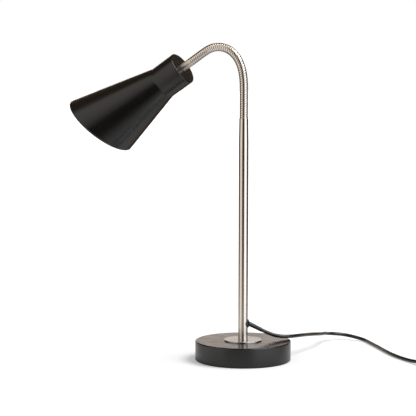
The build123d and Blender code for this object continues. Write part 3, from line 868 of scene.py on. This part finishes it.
SKIRT_THREAD_CREST_EDGE = 0.3 * MM
SKIRT_THREAD_VALLEY_EDGE = 0.5 * MM
SKIRT_THREAD_END = 24.0 * MM
SKIRT_INNER_TOP = 22.6 * MM
THREAD_PITCH = 3.6 * MM


def add_holder_cap():
    """The lampholder's domed cap."""
    holder_cap = turned("holder_dome", [
        (NIPPLE_HOLE, HOLDER_TOP, 0),
        (HOLDER_CAP_RADIUS, HOLDER_TOP, HOLDER_CAP_EDGE),
        (HOLDER_CAP_RADIUS, HOLDER_SPLIT, HOLDER_CAP_HEM),
        (HOLDER_CAP_BORE, HOLDER_SPLIT, HOLDER_CAP_HEM_INSIDE),
        (HOLDER_CAP_BORE, HOLDER_CAP_LEDGE, 0),
    ], PLASTIC, INSIDE_SHADE, segments=HOLDER_SEGMENTS)
    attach(holder_cap, "head")
    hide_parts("holder_cap")


def skirt_outline():
    """The skirt's outline: ridges down its outside, round its rim, and threads up its inside."""
    outline = [(SKIRT_BORE, HOLDER_SPLIT, 0), (SKIRT_RADIUS, HOLDER_SPLIT, SKIRT_TOP_EDGE)]
    for ridge in range(RIDGES):
        low = RIDGE_START + RIDGE_PITCH * ridge
        high = low + RIDGE_GAP
        outline += [
            (SKIRT_RADIUS, low, RIDGE_EDGE),
            (RIDGE_VALLEY, low + RIDGE_SLOPE, RIDGE_EDGE),
            (RIDGE_VALLEY, high - RIDGE_SLOPE, RIDGE_EDGE),
            (SKIRT_RADIUS, high, RIDGE_EDGE),
        ]
    outline.append((SKIRT_RADIUS, SKIRT_LENGTH, SKIRT_RIM))
    outline.append((SKIRT_BORE, SKIRT_LENGTH, SKIRT_RIM_INSIDE))
    for thread in range(SKIRT_THREADS):
        low = SKIRT_THREAD_START - THREAD_PITCH * thread
        outline.append((SKIRT_BORE, low, SKIRT_THREAD_CREST_EDGE))
        outline.append((SKIRT_THREAD_RADIUS, low - THREAD_PITCH / 2, SKIRT_THREAD_VALLEY_EDGE))
    outline.append((SKIRT_BORE, SKIRT_THREAD_END, 0))
    outline.append((SKIRT_BORE, SKIRT_INNER_TOP, 0))
    return outline


def add_skirt():
    """The lampholder's ridged skirt."""
    skirt = turned("holder_shell", skirt_outline(), PLASTIC, INSIDE_SHADE, segments=HOLDER_SEGMENTS)
    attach(skirt, "head")
    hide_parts("holder_skirt")


# ------------------------------------------------------------------ bulb, from the shade's cap
SCREW_TOP = (9.8 * MM, 28.9 * MM, 0)
SCREW_SHOULDER = (12.4 * MM, 31.6 * MM, 0.5 * MM)
SCREW_COLLAR_RADIUS = 13.15 * MM
SCREW_COLLAR_START = 48.0 * MM
SCREW_COLLAR_EDGE = 0.4 * MM
SCREW_END = 49.8 * MM
SCREW_TURNS = 4
SCREW_THREAD_START = 32.4 * MM
SCREW_CREST = 13.1 * MM
SCREW_VALLEY = 12.2 * MM
THREAD_ROUNDING = 0.8 * MM
GLOBE_RADIUS = 22.5 * MM
GLOBE_CENTRE = 80.3 * MM
GLOBE_NECK = 13.1 * MM
GLOBE_NECK_END = 52.0 * MM
GLOBE_STEPS = 40
GLOBE_POLE = 0.01 * MM


def add_bulb_screw():
    """The bulb's screw cap, with its threads as rings."""
    outline = [SCREW_TOP, SCREW_SHOULDER]
    for turn in range(SCREW_TURNS):
        low = SCREW_THREAD_START + THREAD_PITCH * turn
        outline.append((SCREW_CREST, low + THREAD_PITCH / 4, THREAD_ROUNDING))
        outline.append((SCREW_VALLEY, low + THREAD_PITCH * 3 / 4, THREAD_ROUNDING))
    outline.append((SCREW_COLLAR_RADIUS, SCREW_COLLAR_START, SCREW_COLLAR_EDGE))
    outline.append((SCREW_COLLAR_RADIUS, SCREW_END, 0))
    screw_cap = turned("bulb_screw", outline, ALUMINIUM, INSIDE_SHADE, segments=HOLDER_SEGMENTS)
    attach(screw_cap, "head")
    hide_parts("bulb_cap")


def add_globe():
    """The bulb's round glass, from its neck to its far pole."""
    outline = [(GLOBE_NECK, SCREW_END, 0), (GLOBE_NECK, GLOBE_NECK_END, 0)]
    begin = atan2(-sqrt(GLOBE_RADIUS**2 - GLOBE_NECK**2), GLOBE_NECK)
    for step in range(GLOBE_STEPS):
        bend = begin + (pi / 2 - begin) * step / GLOBE_STEPS
        outline.append((GLOBE_RADIUS * cos(bend), GLOBE_CENTRE + GLOBE_RADIUS * sin(bend), 0))
    outline.append((GLOBE_POLE, GLOBE_CENTRE + GLOBE_RADIUS, 0))
    globe = turned("bulb_glass", outline, OPAL, INSIDE_SHADE, segments=HOLDER_SEGMENTS)
    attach(globe, "head")
    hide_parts("bulb_globe")


# ------------------------------------------------------------------ pieces kept from the CAD
KEPT = {
    "base_weight": IRON,
    "base_pad": RUBBER,
    "foot_stud": ZINC,
    "foot_washer": ZINC,
    "foot_nut": ZINC,
    "pole_lead": CORD,
    "head_nipple": ZINC,
    "head_nut": ZINC,
    "holder_insert": CERAMIC,
    "terminal_screws": BRASS,
    "centre_contact": BRASS,
    "side_contact": BRASS,
    "bulb_tip": ALUMINIUM,
    "bulb_insulator": BLACK_GLASS,
    "cord_tie": RUBBER,
    "switch_lower": PLASTIC,
    "switch_upper": PLASTIC,
    "switch_rocker": PLASTIC,
    "switch_screws": ZINC,
    "plug_body": PLASTIC,
    "plug_pins": BRASS,
}


def dress_kept():
    """Gives the pieces kept from the CAD their materials."""
    for node, material in KEPT.items():
        mesh = frame["nodes"][node].data
        mesh.materials.clear()
        mesh.materials.append(material)


# ------------------------------------------------------------------ stage
WORLD_LEVEL = 0.42
SUN_STRENGTH = 1.95
SUN_SIZE = 36
SUN_TOWARDS = (0.62, -0.12, 1.0)
FLOOR_HALF = 60
FLOOR_COLOUR = 0.86
FLOOR_LIFT = 0.25
FLOOR_LIFT_FAR = 0.5
# Distances from the lamp in metres. The floor's lift rises over the first pair. To metal, the lit
# floor gives way to an even colour over the second pair, and that colour to bands over the third.
LIFT_RISE = (0.1, 0.4)
LIT_TO_EVEN = (0.07, 0.2)
EVEN_TO_BANDS = (-0.25, 0.75)
NEAR_FLOOR = (1.15, 1.14, 1.12)
DARK = (0.04, 0.024, 0.013)
BROWN = (0.1, 0.062, 0.036)
WARM = (1.08, 1.0, 0.92)
BEIGE = (1.6, 1.41, 1.3)
WHITE = (1.7, 1.76, 1.85)
CEILING = (0.85, 0.8, 0.74)
# What metal sees round the lamp: degrees from the camera's side to its right, and the colour there.
AROUND_LOW = [
    (-180, BROWN), (-100, BROWN), (-82, WARM), (-42, WARM), (-32, DARK),
    (16, DARK), (28, WHITE), (72, WHITE), (84, BROWN), (180, BROWN),
]
AROUND_BACK = [
    (-180, BEIGE), (-152, BEIGE), (-138, BROWN), (-100, BROWN), (-82, WARM), (-36, WARM), (-22, DARK),
    (16, DARK), (28, WHITE), (72, WHITE), (84, BROWN), (138, BROWN), (152, BEIGE), (180, BEIGE),
]
AROUND_HIGH = [
    (-180, BROWN), (-100, BROWN), (-82, WARM), (-42, WARM), (-22, DARK),
    (16, DARK), (28, WHITE), (84, WHITE), (104, BROWN), (180, BROWN),
]
AROUND_TOP = [(-180, BROWN), (-104, BROWN), (-84, CEILING), (90, CEILING), (110, BROWN), (180, BROWN)]
# How steeply up a direction points where one set of bands goes over into the next: 0 level, 1 up.
LOW_TO_BACK = (0.06, 0.12)
BACK_TO_HIGH = (0.2, 0.32)
HIGH_TO_TOP = (0.82, 0.93)


def step_between(tree, value, low, high):
    """A smooth rise from 0 to 1 as a value goes from low to high."""
    spread = tree.nodes.new("ShaderNodeMapRange")
    spread.interpolation_type = "SMOOTHSTEP"
    spread.inputs["From Min"].default_value = low
    spread.inputs["From Max"].default_value = high
    tree.links.new(value, spread.inputs["Value"])
    return spread.outputs["Result"]


def reckoned(tree, operation, first, second):
    """The result of an operation on two values, each a socket or a number."""
    node = tree.nodes.new("ShaderNodeMath")
    node.operation = operation
    for socket, value in zip(node.inputs, (first, second)):
        if isinstance(value, (int, float)):
            socket.default_value = value
        else:
            tree.links.new(value, socket)
    return node.outputs["Value"]


def around(tree, vector, stops):
    """A colour by the direction round the lamp, in degrees from the camera's side to its right."""
    facing = tree.nodes.new("ShaderNodeVectorRotate")
    facing.rotation_type = "Z_AXIS"
    facing.inputs["Angle"].default_value = radians(-CAMERA_AZIMUTH)
    tree.links.new(vector, facing.inputs["Vector"])
    parts = tree.nodes.new("ShaderNodeSeparateXYZ")
    tree.links.new(facing.outputs["Vector"], parts.inputs["Vector"])
    towards_camera = reckoned(tree, "MULTIPLY", parts.outputs["Y"], -1)
    angle = reckoned(tree, "ARCTAN2", parts.outputs["X"], towards_camera)
    share = tree.nodes.new("ShaderNodeMapRange")
    share.inputs["From Min"].default_value = -pi
    share.inputs["From Max"].default_value = pi
    tree.links.new(angle, share.inputs["Value"])
    ramp = tree.nodes.new("ShaderNodeValToRGB")
    elements = ramp.color_ramp.elements
    while len(elements) < len(stops):
        elements.new(0.5)
    for element, (degree, colour) in zip(elements, stops):
        element.position = (degree + 180) / 360
        element.color = (*colour, 1)
    tree.links.new(share.outputs["Result"], ramp.inputs["Fac"])
    return ramp.outputs["Color"]


def floor_lift(tree, seen, distance):
    """The floor's own light, which only the camera sees, and more of it further out."""
    faded = tree.nodes.new("ShaderNodeMapRange")
    faded.inputs["From Min"].default_value = LIFT_RISE[0]
    faded.inputs["From Max"].default_value = LIFT_RISE[1]
    faded.inputs["To Min"].default_value = FLOOR_LIFT
    faded.inputs["To Max"].default_value = FLOOR_LIFT_FAR
    tree.links.new(distance, faded.inputs["Value"])
    return reckoned(tree, "MULTIPLY", seen.outputs["Is Camera Ray"], faded.outputs["Result"])


def floor_material():
    """A pale floor to the camera. Metal sees it as it is lit near the lamp, and in bands further out."""
    material = new_material("pale_floor", (FLOOR_COLOUR,) * 3, 0.9, Specular_IOR_Level=0.0)
    tree = material.node_tree
    shader = tree.nodes["Principled BSDF"]
    shader.inputs["Emission Color"].default_value = (1, 1, 1, 1)
    where = tree.nodes.new("ShaderNodeTexCoord").outputs["Object"]
    length = tree.nodes.new("ShaderNodeVectorMath")
    length.operation = "LENGTH"
    tree.links.new(where, length.inputs[0])
    distance = length.outputs["Value"]
    seen = tree.nodes.new("ShaderNodeLightPath")
    tree.links.new(floor_lift(tree, seen, distance), shader.inputs["Emission Strength"])

    bands_share = step_between(tree, distance, *EVEN_TO_BANDS)
    mirrored = mixed(tree, bands_share, NEAR_FLOOR, around(tree, where, AROUND_LOW))
    emission = tree.nodes.new("ShaderNodeEmission")
    tree.links.new(mirrored, emission.inputs["Color"])
    beyond = step_between(tree, distance, *LIT_TO_EVEN)
    choice = tree.nodes.new("ShaderNodeMixShader")
    share = reckoned(tree, "MULTIPLY", seen.outputs["Is Glossy Ray"], beyond)
    tree.links.new(share, choice.inputs["Fac"])
    tree.links.new(shader.outputs["BSDF"], choice.inputs[1])
    tree.links.new(emission.outputs["Emission"], choice.inputs[2])
    tree.links.new(choice.outputs["Shader"], tree.nodes["Material Output"].inputs["Surface"])
    return material


def add_floor():
    """A floor that shows white, except where the lamp's shadow falls."""
    mesh = bpy.data.meshes.new("floor")
    half = FLOOR_HALF
    corners = [(-half, -half, 0), (half, -half, 0), (half, half, 0), (-half, half, 0)]
    mesh.from_pydata(corners, [], [(0, 1, 2, 3)])
    mesh.materials.append(floor_material())
    floor = bpy.data.objects.new("floor", mesh)
    bpy.context.scene.collection.objects.link(floor)


def add_world():
    """White to the camera, a studio's pale and dark cards to metal, a plain level to the rest."""
    world = bpy.data.worlds.new("studio")
    bpy.context.scene.world = world
    world.use_nodes = True
    tree = world.node_tree
    plain = tree.nodes["Background"]
    plain.inputs["Color"].default_value = (1, 1, 1, 1)
    path = tree.nodes.new("ShaderNodeLightPath")
    seen = reckoned(tree, "MAXIMUM", path.outputs["Is Camera Ray"], path.outputs["Is Transmission Ray"])
    tree.links.new(reckoned(tree, "MAXIMUM", seen, WORLD_LEVEL), plain.inputs["Strength"])

    way = tree.nodes.new("ShaderNodeTexCoord").outputs["Generated"]
    parts = tree.nodes.new("ShaderNodeSeparateXYZ")
    tree.links.new(way, parts.inputs["Vector"])
    rings = around(tree, way, AROUND_LOW)
    for limits, stops in (
        (LOW_TO_BACK, AROUND_BACK),
        (BACK_TO_HIGH, AROUND_HIGH),
        (HIGH_TO_TOP, AROUND_TOP),
    ):
        above = step_between(tree, parts.outputs["Z"], *limits)
        rings = mixed(tree, above, rings, around(tree, way, stops))
    mirrored = tree.nodes.new("ShaderNodeBackground")
    tree.links.new(rings, mirrored.inputs["Color"])
    choice = tree.nodes.new("ShaderNodeMixShader")
    tree.links.new(path.outputs["Is Glossy Ray"], choice.inputs["Fac"])
    tree.links.new(plain.outputs["Background"], choice.inputs[1])
    tree.links.new(mirrored.outputs["Background"], choice.inputs[2])
    tree.links.new(choice.outputs["Shader"], tree.nodes["World Output"].inputs["Surface"])


def add_sun():
    """A wide soft light from above on the camera's right."""
    data = bpy.data.lights.new("key", "SUN")
    data.energy = SUN_STRENGTH
    data.angle = radians(SUN_SIZE)
    key = bpy.data.objects.new("key", data)
    towards = Matrix.Rotation(radians(CAMERA_AZIMUTH), 3, "Z") @ Vector(SUN_TOWARDS)
    key.rotation_euler = towards.to_track_quat("Z", "Y").to_euler()
    bpy.context.scene.collection.objects.link(key)


add_shell()
add_rosette()
add_pole()
add_grommet()
add_neck()
add_shade()
add_ferrule()
add_holder_cap()
add_skirt()
add_bulb_screw()
add_globe()
dress_kept()
add_floor()
add_world()
add_sun()
bpy.context.scene.view_settings.view_transform = "Standard"
